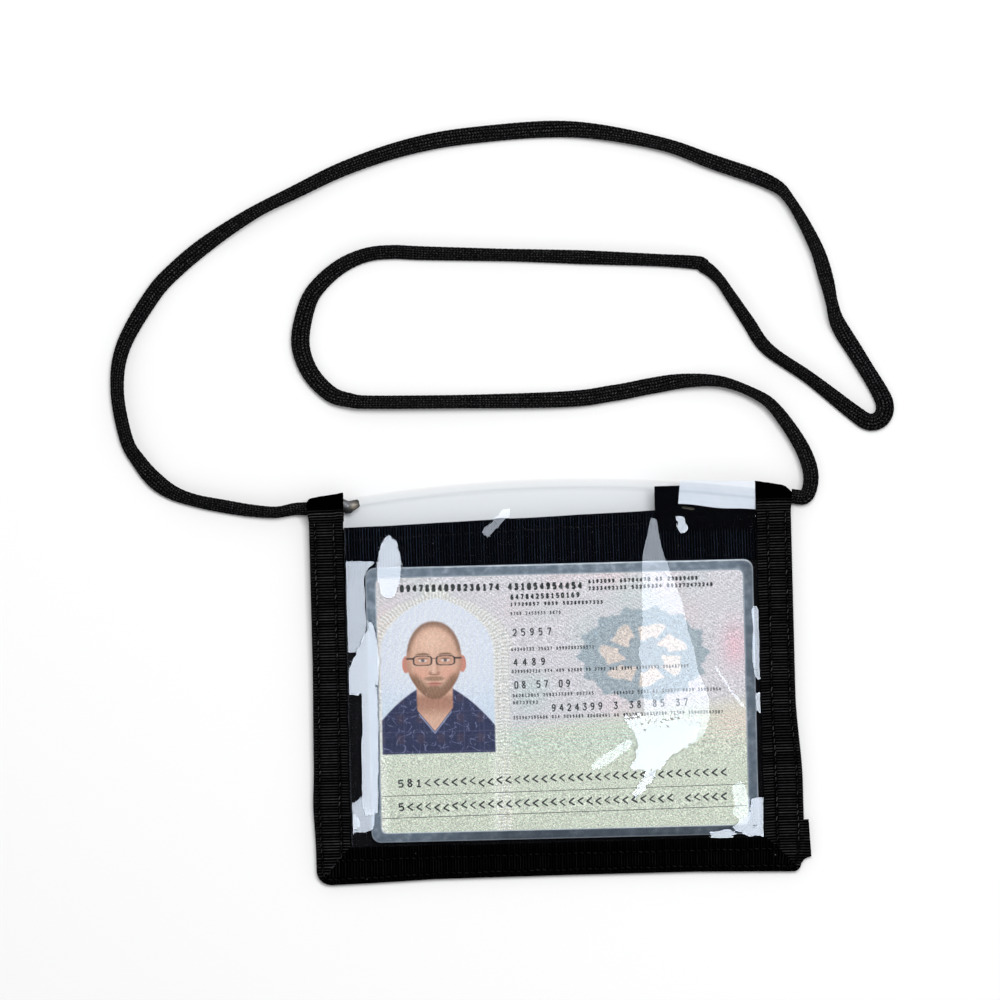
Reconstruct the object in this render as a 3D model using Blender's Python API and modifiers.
# ID holder: a clear pocket with taped edges, a card that slides in it and a neck cord.
# Metres, +Z up. The holder lies on its back with its mouth towards +Y, and the origin is at
# the bottom centre of the holder without its cord. Runs with blender --background --python part.py.

import math

import bmesh
import bpy
from mathutils import Matrix, Vector

mm = 0.001

# Card: a paper print sealed in a clear laminate.
card_width = 105.0 * mm
card_height = 74.0 * mm
card_thickness = 0.8 * mm
card_corner_radius = 3.5 * mm
card_turn = math.radians(-0.6)
laminate_rim = 2.75 * mm
print_thickness = 0.3 * mm
print_corner_radius = 2.5 * mm
print_clearance = 0.25 * mm

# Room round the card in the pocket.
layer_gap = 0.3 * mm
side_play = 5.0 * mm
card_side_clearance = 0.4 * mm
card_foot_clearance = 0.8 * mm
mouth_margin = 19.2 * mm
mouth_flat_share = 0.25
mouth_rise_share = 0.33

# Edge tape, folded round three sides and sewn in two rows.
tape_face_width = 10.0 * mm
tape_thickness = 0.4 * mm
seam_depth = 6.4 * mm
mitre_angle = math.radians(45)
mitre_clearance = 0.1 * mm
fold_steps = 8
corner_steps = 4
bottom_tape_steps = 4

# Rounds of the pocket's lower corners inside the folded tape: the right one is nearly square.
left_corner_round = 2.75 * mm
right_corner_round = 0.35 * mm

# Back panel and the tape that binds its upper edge.
panel_thickness = 0.5 * mm
top_binding_depth = 15.0 * mm
panel_edge_slant = 3.8 * mm
panel_cord_clearance = 1.4 * mm
top_binding_columns = 4

# Clear film of the front.
film_thickness = 0.3 * mm
film_rise_margin = 0.3 * mm
film_crown = 0.8 * mm
film_lip = 0.3 * mm
film_bow = 4.0 * mm
film_columns = 10
film_rows = 6
rise_steps = 3

# Labels at the right of the mouth.
woven_label_width = 26.5 * mm
woven_label_height = 12.0 * mm
woven_label_thickness = 0.3 * mm
care_label_width = 20.2 * mm
care_label_height = 7.4 * mm
care_label_thickness = 0.2 * mm
care_label_turn = math.radians(-2.5)
woven_label_overrun = 1.6 * mm
care_label_overrun = 2.5 * mm
label_corner_radius = 0.4 * mm
label_corner_steps = 2

# Neck cord, the tunnels that hold it and its sealed end.
cord_diameter = 3.6 * mm
cord_clearance = 0.3 * mm
tunnel_drop = 2.2 * mm
tunnel_lift = 0.4 * mm
tunnel_steps = 14
cord_tail_reach = 3.2 * mm
melt_length = 2.2 * mm
melt_bulge = 0.25 * mm
melt_dent = 0.5 * mm
melt_neck_share = 0.8
melt_swell_share = 0.35
cord_joint_gap = 0.3 * mm
cord_lead = 4.0 * mm
cord_settle_length = 24.0 * mm
cord_point_spacing = 10.5 * mm
tail_segments = 16

# Cut end of the edge tape beside the lower right corner.
tab_reach = 3.2 * mm
tab_height = 10.1 * mm
tab_slope = 0.5 * mm
tab_foot = 4.1 * mm
tab_notch_depth = 3.0 * mm
tab_notch_sweep = math.radians(70)
tab_notch_steps = 6

plate_corner_steps = 6
sharp_angle = math.radians(40)
weld_distance = 0.001 * mm

# The cord's route on the table, from the left tunnel to the right one, in plan.
cord_route = [
    (-76.0 * mm, 46.9 * mm), (-83.0 * mm, 47.6 * mm), (-90.0 * mm, 48.9 * mm),
    (-97.5 * mm, 50.6 * mm), (-103.8 * mm, 53.0 * mm), (-108.6 * mm, 56.6 * mm),
    (-112.6 * mm, 61.6 * mm), (-115.9 * mm, 67.8 * mm), (-118.0 * mm, 81.0 * mm),
    (-116.0 * mm, 93.0 * mm), (-107.8 * mm, 106.5 * mm), (-101.0 * mm, 113.6 * mm),
    (-91.7 * mm, 120.8 * mm), (-79.8 * mm, 128.1 * mm), (-69.0 * mm, 133.2 * mm),
    (-54.4 * mm, 139.7 * mm), (-37.4 * mm, 144.9 * mm), (-19.6 * mm, 147.6 * mm),
    (6.4 * mm, 148.5 * mm), (29.9 * mm, 144.2 * mm), (44.9 * mm, 138.6 * mm),
    (59.8 * mm, 132.8 * mm), (65.5 * mm, 127.6 * mm), (72.0 * mm, 115.2 * mm),
    (74.8 * mm, 105.7 * mm), (76.0 * mm, 99.8 * mm), (77.6 * mm, 93.9 * mm), (82.6 * mm, 85.3 * mm),
    (88.4 * mm, 75.2 * mm), (89.7 * mm, 71.0 * mm), (88.4 * mm, 67.9 * mm), (85.2 * mm, 67.2 * mm),
    (81.2 * mm, 69.8 * mm), (69.5 * mm, 79.4 * mm), (58.3 * mm, 87.6 * mm), (53.2 * mm, 95.2 * mm),
    (48.6 * mm, 102.4 * mm), (45.6 * mm, 106.9 * mm), (41.9 * mm, 110.2 * mm),
    (37.0 * mm, 111.8 * mm), (3.1 * mm, 114.1 * mm), (-32.8 * mm, 115.9 * mm),
    (-42.5 * mm, 116.5 * mm), (-49.6 * mm, 115.9 * mm), (-56.3 * mm, 113.2 * mm),
    (-62.3 * mm, 108.4 * mm), (-65.9 * mm, 103.0 * mm), (-68.1 * mm, 93.2 * mm),
    (-66.1 * mm, 85.3 * mm), (-61.0 * mm, 79.1 * mm), (-55.6 * mm, 76.8 * mm),
    (-45.6 * mm, 75.9 * mm), (0.4 * mm, 75.4 * mm), (16.4 * mm, 76.8 * mm), (26.2 * mm, 78.4 * mm),
    (36.1 * mm, 79.6 * mm), (46.0 * mm, 79.0 * mm), (55.4 * mm, 75.1 * mm), (60.4 * mm, 70.8 * mm),
    (66.6 * mm, 61.3 * mm), (69.1 * mm, 53.5 * mm),
]

# Sizes that follow from the ones above.
tape_half = tape_thickness / 2
holder_width = card_width + side_play + 2 * tape_face_width
holder_height = tape_face_width + card_foot_clearance + card_height + mouth_margin
half_width = holder_width / 2
half_height = holder_height / 2
face_x = half_width - tape_face_width
face_y = half_height - tape_face_width

panel_rear = tape_thickness + layer_gap
panel_front = panel_rear + panel_thickness
top_binding_front = panel_front + layer_gap + tape_thickness
card_rear = top_binding_front + layer_gap
card_front = card_rear + card_thickness
seam_film = panel_front + layer_gap
card_room = card_front + layer_gap - seam_film
label_room = woven_label_thickness + layer_gap + care_label_thickness + layer_gap
leaf_over_film = film_thickness + layer_gap + tape_half
fold_radius = (seam_film + leaf_over_film - tape_half) / 2
fold_reach = fold_radius + tape_half
corner_rounds = {-1: left_corner_round, 1: right_corner_round}
corner_radii = {side: corner_rounds[side] + fold_reach for side in corner_rounds}
hem_fold_radius = (top_binding_front - tape_thickness) / 2
hem_fold_reach = hem_fold_radius + tape_half

cord_radius = cord_diameter / 2
tunnel_radius = cord_radius + cord_clearance + tape_half
tunnel_reach = tunnel_radius + tape_half
tunnel_y = half_height - tunnel_drop
tunnel_z = tunnel_lift
tunnel_start_y = tunnel_y - tunnel_radius - panel_cord_clearance + tape_half
panel_edge_right = tunnel_start_y + layer_gap
panel_edge_left = panel_edge_right - panel_edge_slant

mouth_rise_end = tunnel_start_y - tape_half - mouth_margin * mouth_flat_share
mouth_rise_start = mouth_rise_end - mouth_margin * mouth_rise_share
film_full_depth = tape_face_width - film_rise_margin

# The holder rests on its folded lower edge and on the two tunnels, so it is a little tilted.
foot_y = fold_reach - half_height
tunnel_arm = math.hypot(tunnel_y - foot_y, tunnel_z)
tilt = math.asin(tunnel_reach / tunnel_arm) - math.atan2(tunnel_z, tunnel_y - foot_y)

film_top_y = half_height + film_lip + film_bow
origin_shift = Vector((-tab_reach / 2, -(film_top_y - half_height) / 2, 0))
frame_matrix = (
    Matrix.Translation(origin_shift)
    @ Matrix.Translation((0, foot_y, 0))
    @ Matrix.Rotation(tilt, 4, "X")
    @ Matrix.Translation((0, -foot_y, 0))
)

black_tape = (0.012, 0.012, 0.013, 1.0)
black_cloth = (0.016, 0.016, 0.018, 1.0)
clear_blue = (0.78, 0.84, 0.90, 1.0)
white_satin = (0.82, 0.85, 0.90, 1.0)
card_green = (0.66, 0.70, 0.60, 1.0)
laminate_blue = (0.52, 0.60, 0.68, 1.0)


def smooth_step(value, low, high):
    """0 below low, 1 above high and an S-curve between them."""
    share = min(max((value - low) / (high - low), 0), 1)
    return share * share * (3 - 2 * share)


def film_rise(x, y):
    """0 at the seam and 1 where the film has cleared the card, by the nearest sewn edge."""
    depth = min(half_width - abs(x), y + half_height)
    return smooth_step(depth, seam_depth, film_full_depth)


def film_underside(x, y):
    """Height of the film's underside: low at the seams, over the card and the labels inside."""
    mouth = smooth_step(y, mouth_rise_start, mouth_rise_end)
    crown = film_crown * max(0, 1 - (x / face_x) ** 2)
    return seam_film + film_rise(x, y) * (card_room + mouth * label_room + crown)


def front_leaf_height(x, y):
    return film_underside(x, y) + leaf_over_film


def rear_leaf_height(x, y):
    return tape_half


def panel_edge(x):
    """The back panel's upper edge, which slants from right to left."""
    share = (x + face_x) / (2 * face_x)
    return panel_edge_left + (panel_edge_right - panel_edge_left) * min(max(share, 0), 1)


def between(low, high, count):
    """count + 1 even values from low to high."""
    return [low + (high - low) * i / count for i in range(count + 1)]


def make_material(name, color, roughness, transmission=0):
    material = bpy.data.materials.new(name)
    material.use_nodes = True
    shader = material.node_tree.nodes["Principled BSDF"]
    shader.inputs["Base Color"].default_value = color
    shader.inputs["Roughness"].default_value = roughness
    shader.inputs["Metallic"].default_value = 0
    shader.inputs["Transmission Weight"].default_value = transmission
    material.diffuse_color = color
    return material


def add_object(name, data, collection, parent, material=None):
    made = bpy.data.objects.new(name, data)
    collection.objects.link(made)
    made.parent = parent
    if material:
        data.materials.append(material)
    return made


def mesh_from(name, verts, faces):
    mesh = bpy.data.meshes.new(name)
    mesh.from_pydata(verts, [], faces)
    work = bmesh.new()
    work.from_mesh(mesh)
    bmesh.ops.recalc_face_normals(work, faces=work.faces)
    work.to_mesh(mesh)
    work.free()
    mesh.shade_smooth()
    mesh.set_sharp_from_angle(angle=sharp_angle)
    return mesh


def add_wall(made, thickness):
    """Gives an open sheet its thickness, half to each side."""
    wall = made.modifiers.new("wall", "SOLIDIFY")
    wall.thickness = thickness
    wall.offset = 0
    wall.use_even_offset = True


def strip_faces(first, second):
    """Quads between two rows of vertex numbers."""
    return [(first[i], first[i + 1], second[i + 1], second[i]) for i in range(len(first) - 1)]


def leaf_depths(reach, depth, rises):
    """Where a leaf's columns lie, as shares of the way from the fold to the leaf's edge."""
    steps = [reach] + [value for value in rises if reach < value < depth] + [depth]
    return [(value - reach) / (depth - reach) for value in steps]


def tape_row(verts, row, radius, reach, shares, rear_height, front_height):
    """One cross-section of a tape folded in two: rear leaf, round fold, front leaf."""
    outer, normal, inner = row
    start = outer + normal * reach
    plan = [start + (inner - start) * share for share in shares]
    first = len(verts)
    for point in reversed(plan):
        verts.append((point.x, point.y, rear_height(point.x, point.y)))
    low = rear_height(start.x, start.y)
    middle = (low + front_height(start.x, start.y)) / 2
    for step in range(1, fold_steps):
        angle = math.pi * (step / fold_steps - 0.5)
        point = outer + normal * (reach - radius * math.cos(angle))
        verts.append((point.x, point.y, middle + (middle - low) * math.sin(angle)))
    for point in plan:
        verts.append((point.x, point.y, front_height(point.x, point.y)))
    return list(range(first, len(verts)))


def folded_tape(rows, radius, reach, shares, rear_height, front_height):
    """A tape folded round an edge, as an open sheet of rows along that edge."""
    verts, faces, sections = [], [], []
    for row in rows:
        sections.append(tape_row(verts, row, radius, reach, shares, rear_height, front_height))
    for first, second in zip(sections, sections[1:]):
        faces += strip_faces(first, second)
    return verts, faces, sections


def tangent_angle(y, z, side):
    """Angle on the tunnel's round where a straight leg from (y, z) touches it."""
    away = Vector((y - tunnel_y, z - tunnel_z))
    return math.atan2(away.y, away.x) + side * math.acos(tunnel_radius / away.length)


def add_tunnel(verts, faces, section, count, side):
    """Carries the two leaves on past the fold, round the cord, and joins them there."""
    rear = section[:count]
    front = section[-count:]
    columns = []
    for rear_index, front_index in zip(rear, reversed(front)):
        x, y, low = verts[rear_index]
        high = verts[front_index][2]
        share = (abs(x) - face_x) / (tape_face_width - fold_reach)
        tunnel_x = side * (face_x + share * tape_face_width)
        start = tangent_angle(y, low, 1) % math.tau - math.tau
        end = tangent_angle(y, high, -1)
        column = [rear_index]
        for angle in between(start, end, tunnel_steps):
            column.append(len(verts))
            verts.append((
                tunnel_x,
                tunnel_y + tunnel_radius * math.cos(angle),
                tunnel_z + tunnel_radius * math.sin(angle),
            ))
        column.append(front_index)
        columns.append(column)
    for first, second in zip(columns, columns[1:]):
        faces += strip_faces(first, second)


def corner_rows(side, along):
    """Rows that fan round a lower corner from its mitre, for a side or for the bottom tape."""
    radius = corner_radii[side]
    centre = Vector((side * (half_width - radius), radius - half_height))
    inner_corner = Vector((side * face_x, -face_y))
    mitre_shift = Vector((side, 1)) if along == "side" else Vector((-side, -1))
    rows = []
    for step in range(corner_steps + 1):
        turn = mitre_angle * (1 - step / corner_steps)
        if along == "side":
            normal = Vector((-side * math.cos(turn), math.sin(turn)))
            inner = inner_corner + Vector((0, step * radius / corner_steps))
        else:
            normal = Vector((-side * math.sin(turn), math.cos(turn)))
            inner = inner_corner + Vector((-side * step * radius / corner_steps, 0))
        outer = centre - normal * radius
        shift = mitre_shift * (mitre_clearance * (1 - step / corner_steps))
        rows.append((outer + shift, normal, inner + shift))
    return rows


def side_tape(name, side, collection, frame, material):
    """The tape along one side: mitred at the foot, with the cord's tunnel at the mouth."""
    rises = between(seam_depth, film_full_depth, rise_steps)
    shares = leaf_depths(fold_reach, tape_face_width, rises)
    rows = corner_rows(side, "side")
    mouth_ys = between(mouth_rise_start, mouth_rise_end, rise_steps)
    for y in (2 * corner_radii[side] - face_y, *mouth_ys, tunnel_start_y):
        rows.append((
            Vector((side * half_width, y)), Vector((-side, 0)), Vector((side * face_x, y)),
        ))
    verts, faces, sections = folded_tape(
        rows, fold_radius, fold_reach, shares, rear_leaf_height, front_leaf_height
    )
    add_tunnel(verts, faces, sections[-1], len(shares), side)
    made = add_object(name, mesh_from(name, verts, faces), collection, frame, material)
    add_wall(made, tape_thickness)
    return made


def bottom_tape(name, collection, frame, material):
    """The tape along the bottom, mitred at both corners."""
    rises = between(seam_depth, film_full_depth, rise_steps)
    shares = leaf_depths(fold_reach, tape_face_width, rises)
    rows = corner_rows(-1, "bottom")
    for x in between(2 * corner_radii[-1] - face_x, face_x - 2 * corner_radii[1], bottom_tape_steps):
        rows.append((Vector((x, -half_height)), Vector((0, 1)), Vector((x, -face_y))))
    rows += reversed(corner_rows(1, "bottom"))
    verts, faces, _ = folded_tape(
        rows, fold_radius, fold_reach, shares, rear_leaf_height, front_leaf_height
    )
    made = add_object(name, mesh_from(name, verts, faces), collection, frame, material)
    add_wall(made, tape_thickness)
    return made


def top_binding(name, collection, frame, material):
    """The tape folded over the back panel's upper edge, between the side tapes."""
    reach_x = face_x - layer_gap
    rows = []
    for x in between(-reach_x, reach_x, top_binding_columns):
        edge = panel_edge(x) + hem_fold_reach
        rows.append((Vector((x, edge)), Vector((0, -1)), Vector((x, edge - top_binding_depth))))
    verts, faces, _ = folded_tape(
        rows, hem_fold_radius, hem_fold_reach, [0, 1], rear_leaf_height,
        lambda x, y: top_binding_front - tape_half,
    )
    made = add_object(name, mesh_from(name, verts, faces), collection, frame, material)
    add_wall(made, tape_thickness)
    return made


def window_film(name, collection, frame, material):
    """The clear front: one sheet that rises from its seams over the card and the labels."""
    seam_steps = [fold_reach, *between(seam_depth, film_full_depth, rise_steps)]
    tongue_x = face_x - layer_gap
    side_xs = [depth - half_width for depth in seam_steps]
    xs = [*side_xs, *between(-tongue_x, tongue_x, film_columns), *[-x for x in reversed(side_xs)]]
    low_ys = [depth - half_height for depth in seam_steps]
    card_ys = between(low_ys[-1], mouth_rise_start, rise_steps)[1:]
    mouth_ys = between(mouth_rise_start, mouth_rise_end, rise_steps)[1:]
    ys = [*low_ys, *card_ys, *mouth_ys, tunnel_start_y - layer_gap]
    corner_cuts = {side: (1 - math.cos(mitre_angle)) * corner_rounds[side] for side in corner_rounds}
    verts = []
    for row in range(len(ys) + film_rows):
        for x in xs:
            if row < len(ys):
                y = ys[row]
            else:
                lip = half_height + film_lip + film_bow * (1 - (x / face_x) ** 2)
                y = ys[-1] + (lip - ys[-1]) * (row - len(ys) + 1) / film_rows
            cut = corner_cuts[math.copysign(1, x)] if row == 0 and abs(x) == -xs[0] else 0
            place_x = x - math.copysign(cut, x)
            verts.append((place_x, y + cut, film_underside(x, y) + film_thickness / 2))
    faces = []
    edge = len(side_xs)
    for row in range(len(ys) + film_rows - 1):
        first, last = (0, len(xs) - 1) if row < len(ys) - 1 else (edge, len(xs) - 1 - edge)
        for column in range(first, last):
            start = row * len(xs) + column
            faces.append((start, start + 1, start + 1 + len(xs), start + len(xs)))
    mesh = mesh_from(name, verts, faces)
    work = bmesh.new()
    work.from_mesh(mesh)
    bmesh.ops.delete(work, geom=[v for v in work.verts if not v.link_faces], context="VERTS")
    work.to_mesh(mesh)
    work.free()
    made = add_object(name, mesh, collection, frame, material)
    add_wall(made, film_thickness)
    return made


def round_outline(left, bottom, right, top, radius, steps=plate_corner_steps):
    """A rectangle's outline with its four corners as arcs."""
    corners = ((right, top, 0), (left, top, 90), (left, bottom, 180), (right, bottom, 270))
    points = []
    for x, y, start in corners:
        centre_x = x - math.copysign(radius, x - (left + right) / 2)
        centre_y = y - math.copysign(radius, y - (bottom + top) / 2)
        for step in range(steps + 1):
            angle = math.radians(start + 90 * step / steps)
            points.append((centre_x + radius * math.cos(angle), centre_y + radius * math.sin(angle)))
    return points


def flat_plate(name, points, rear, thickness, collection, parent, material):
    """A flat piece cut to an outline, as a filled 2D curve turned into a mesh."""
    outline = bpy.data.curves.new(name, "CURVE")
    outline.dimensions = "2D"
    outline.fill_mode = "BOTH"
    outline.extrude = thickness / 2
    spline = outline.splines.new("POLY")
    spline.points.add(len(points) - 1)
    for point, (x, y) in zip(spline.points, points):
        point.co = (x, y, 0, 1)
    spline.use_cyclic_u = True
    drawn = bpy.data.objects.new(name + "_outline", outline)
    collection.objects.link(drawn)
    bpy.context.view_layer.update()
    mesh = bpy.data.meshes.new_from_object(drawn.evaluated_get(bpy.context.evaluated_depsgraph_get()))
    bpy.data.objects.remove(drawn)
    work = bmesh.new()
    work.from_mesh(mesh)
    bmesh.ops.remove_doubles(work, verts=work.verts, dist=weld_distance)
    bmesh.ops.recalc_face_normals(work, faces=work.faces)
    bmesh.ops.translate(work, verts=work.verts, vec=(0, 0, rear + thickness / 2))
    work.to_mesh(mesh)
    work.free()
    mesh.name = name
    return add_object(name, mesh, collection, parent, material)


def back_panel(name, collection, frame, material):
    """The opaque sheet behind the card, inside the folds of all four tapes."""
    x = half_width - fold_reach
    bottom = fold_reach - half_height
    arc = plate_corner_steps + 1
    left_arc = round_outline(-x, bottom, x, half_height, left_corner_round)[2 * arc:3 * arc]
    right_arc = round_outline(-x, bottom, x, half_height, right_corner_round)[3 * arc:]
    points = [*left_arc, *right_arc, (x, panel_edge(x)), (face_x, panel_edge(face_x)),
              (-face_x, panel_edge(-face_x)), (-x, panel_edge(-x))]
    return flat_plate(name, points, panel_rear, panel_thickness, collection, frame, material)


def cord_tail(name, x_from, x_to, melted, collection, frame, material):
    """The stretch of cord inside a tunnel, turned round its axis, with a sealed end if melted."""
    outward = math.copysign(1, x_from)
    reach = abs(x_from - x_to)
    profile = [(0, 0), (cord_radius, 0)]
    if melted:
        profile += [
            (cord_radius, reach - melt_length),
            (cord_radius - melt_dent / 2, reach - melt_length * melt_neck_share),
            (cord_radius + melt_bulge, reach - melt_length * melt_swell_share),
            (cord_radius - melt_dent, reach),
            (0, reach + melt_bulge),
        ]
    else:
        profile += [(cord_radius, reach), (0, reach)]
    verts = [(radius, 0, along) for radius, along in profile]
    mesh = bpy.data.meshes.new(name)
    mesh.from_pydata(verts, [(i, i + 1) for i in range(len(verts) - 1)], [])
    made = add_object(name, mesh, collection, frame, material)
    made.location = (x_from, tunnel_y, tunnel_z)
    made.rotation_euler = (0, -outward * math.pi / 2, 0)
    turn = made.modifiers.new("turn", "SCREW")
    turn.angle = math.tau
    turn.steps = tail_segments
    turn.render_steps = tail_segments
    turn.use_merge_vertices = True
    turn.merge_threshold = weld_distance
    turn.use_normal_flip = True
    return made


def smooth_route(points, spacing):
    """Catmull-Rom points through a route, about a spacing apart and at least one a segment."""
    ends = [points[0] * 2 - points[1], *points, points[-1] * 2 - points[-2]]
    route = []
    for p0, p1, p2, p3 in zip(ends, ends[1:], ends[2:], ends[3:]):
        parts = max(1, round((p2 - p1).length / spacing))
        for step in range(parts):
            t = step / parts
            route.append(0.5 * (
                2 * p1 + (p2 - p0) * t + (2 * p0 - 5 * p1 + 4 * p2 - p3) * t * t
                + (3 * p1 - p0 - 3 * p2 + p3) * t ** 3
            ))
    route.append(points[-1])
    return route


def neck_cord(name, collection, material):
    """The free cord, from one tunnel to the other, lying on the table in plan and settling to it."""
    exits = []
    for side in (-1, 1):
        for step_out in (cord_joint_gap, cord_joint_gap + cord_lead):
            exits.append(frame_matrix @ Vector((side * (half_width + step_out), tunnel_y, tunnel_z)))
    left, left_lead, right, right_lead = exits
    route = [left, left_lead, *[Vector((x, y, cord_radius)) for x, y in cord_route], right_lead, right]
    route = smooth_route(route, cord_point_spacing)
    lengths = [0]
    for first, second in zip(route, route[1:]):
        lengths.append(lengths[-1] + (second - first).length)
    for point, length in zip(route, lengths):
        from_end = min(length, lengths[-1] - length)
        share = smooth_step(from_end, cord_lead, cord_settle_length)
        point.z = left.z + (cord_radius - left.z) * share
    curve = bpy.data.curves.new(name, "CURVE")
    curve.dimensions = "3D"
    curve.bevel_depth = cord_radius
    curve.bevel_resolution = 2
    curve.use_fill_caps = True
    spline = curve.splines.new("POLY")
    spline.points.add(len(route) - 1)
    for place, point in zip(spline.points, route):
        place.co = (*point, 1)
    made = add_object(name, curve, collection, None, material)
    print("neck cord length", round(lengths[-1], 4), "points", len(route))
    return made


def tape_end_tab(name, collection, frame, material):
    """The edge tape's cut end, which stands out beside the lower right corner."""
    left = half_width + layer_gap
    right = half_width + tab_reach
    foot = tab_foot - half_height
    points = [(left, foot + tab_height), (right - tab_slope, foot + tab_height), (right, foot)]
    for step in range(1, tab_notch_steps + 1):
        turn = tab_notch_sweep * step / tab_notch_steps
        points.append((
            right - (right - left) * math.sin(turn) / math.sin(tab_notch_sweep),
            foot - tab_notch_depth * (1 - math.cos(turn)),
        ))
    points.reverse()
    rear = fold_reach - tape_half
    return flat_plate(name, points, rear, tape_thickness, collection, frame, material)


def label_plate(name, width, height, overrun, turn, rear, thickness, collection, frame, material):
    """A label sewn in beside the right tunnel, turned a little about its sewn end."""
    right = face_x - layer_gap
    top = half_height + overrun
    half = height / 2
    points = round_outline(-width, -half, 0, half, label_corner_radius, label_corner_steps)
    rotate = Matrix.Rotation(turn, 2)
    away = abs(math.sin(turn)) * half
    placed = [rotate @ Vector(point) + Vector((right - away, top - half)) for point in points]
    return flat_plate(name, placed, rear, thickness, collection, frame, material)


def card_pieces(collection, cutters, frame, laminate_material, print_material):
    """The laminated card on its own slide axis: a clear plate with the print let into it."""
    slide = bpy.data.objects.new("card_slide_axis", None)
    collection.objects.link(slide)
    slide.parent = frame
    slide.location = (
        face_x - card_side_clearance - card_width / 2,
        card_foot_clearance + card_height / 2 - face_y,
        card_rear,
    )
    slide.rotation_euler = (0, 0, card_turn)
    x = card_width / 2
    y = card_height / 2
    outline = round_outline(-x, -y, x, y, card_corner_radius)
    laminate = flat_plate("card_laminate", outline, 0, card_thickness, collection, slide, laminate_material)
    x -= laminate_rim
    y -= laminate_rim
    recess_rear = card_thickness - print_thickness - print_clearance
    recess = round_outline(-x, -y, x, y, print_corner_radius)
    cutter = flat_plate("print_recess", recess, recess_rear, card_thickness, cutters, slide, None)
    cutter.hide_render = True
    cutter.display_type = "WIRE"
    cut = laminate.modifiers.new("print_recess", "BOOLEAN")
    cut.object = cutter
    cut.operation = "DIFFERENCE"
    x -= print_clearance
    y -= print_clearance
    inlay = round_outline(-x, -y, x, y, print_corner_radius - print_clearance)
    paper_rear = card_thickness - print_thickness
    flat_plate("card_print", inlay, paper_rear, print_thickness, collection, slide, print_material)


def main():
    for old in list(bpy.data.objects):
        bpy.data.objects.remove(old)
    holder = bpy.data.collections.new("id_holder")
    cutters = bpy.data.collections.new("cutters")
    bpy.context.scene.collection.children.link(holder)
    bpy.context.scene.collection.children.link(cutters)
    frame = bpy.data.objects.new("holder_frame", None)
    holder.objects.link(frame)
    frame.matrix_world = frame_matrix
    bpy.context.view_layer.update()

    back_panel("back_panel", holder, frame, make_material("panel_cloth", black_cloth, 0.75))
    top_binding("top_binding", holder, frame, make_material("top_tape", black_tape, 0.8))
    window_film("window_film", holder, frame, make_material("clear_film", clear_blue, 0.08, 0.9))
    side_tape("left_binding", -1, holder, frame, make_material("left_tape", black_tape, 0.8))
    side_tape("right_binding", 1, holder, frame, make_material("right_tape", black_tape, 0.8))
    bottom_tape("bottom_binding", holder, frame, make_material("bottom_tape", black_tape, 0.8))
    tape_end_tab("tape_end_tab", holder, frame, make_material("tab_tape", black_tape, 0.8))
    woven_rear = card_front + layer_gap
    care_rear = woven_rear + woven_label_thickness + layer_gap
    label_plate("woven_label", woven_label_width, woven_label_height, woven_label_overrun, 0,
                woven_rear, woven_label_thickness, holder, frame,
                make_material("woven_tape", black_cloth, 0.6))
    label_plate("care_label", care_label_width, care_label_height, care_label_overrun, care_label_turn,
                care_rear, care_label_thickness, holder, frame,
                make_material("white_satin", white_satin, 0.45))
    card_pieces(holder, cutters, frame, make_material("laminate", laminate_blue, 0.15),
                make_material("card_paper", card_green, 0.5))
    tail_end = face_x - cord_tail_reach
    cord_tail("left_cord_tail", -half_width, -tail_end, True, holder, frame,
              make_material("left_cord_braid", black_tape, 0.7))
    cord_tail("right_cord_tail", half_width, face_x, False, holder, frame,
              make_material("right_cord_braid", black_tape, 0.7))
    neck_cord("neck_cord", holder, make_material("neck_cord_braid", black_tape, 0.7))


main()
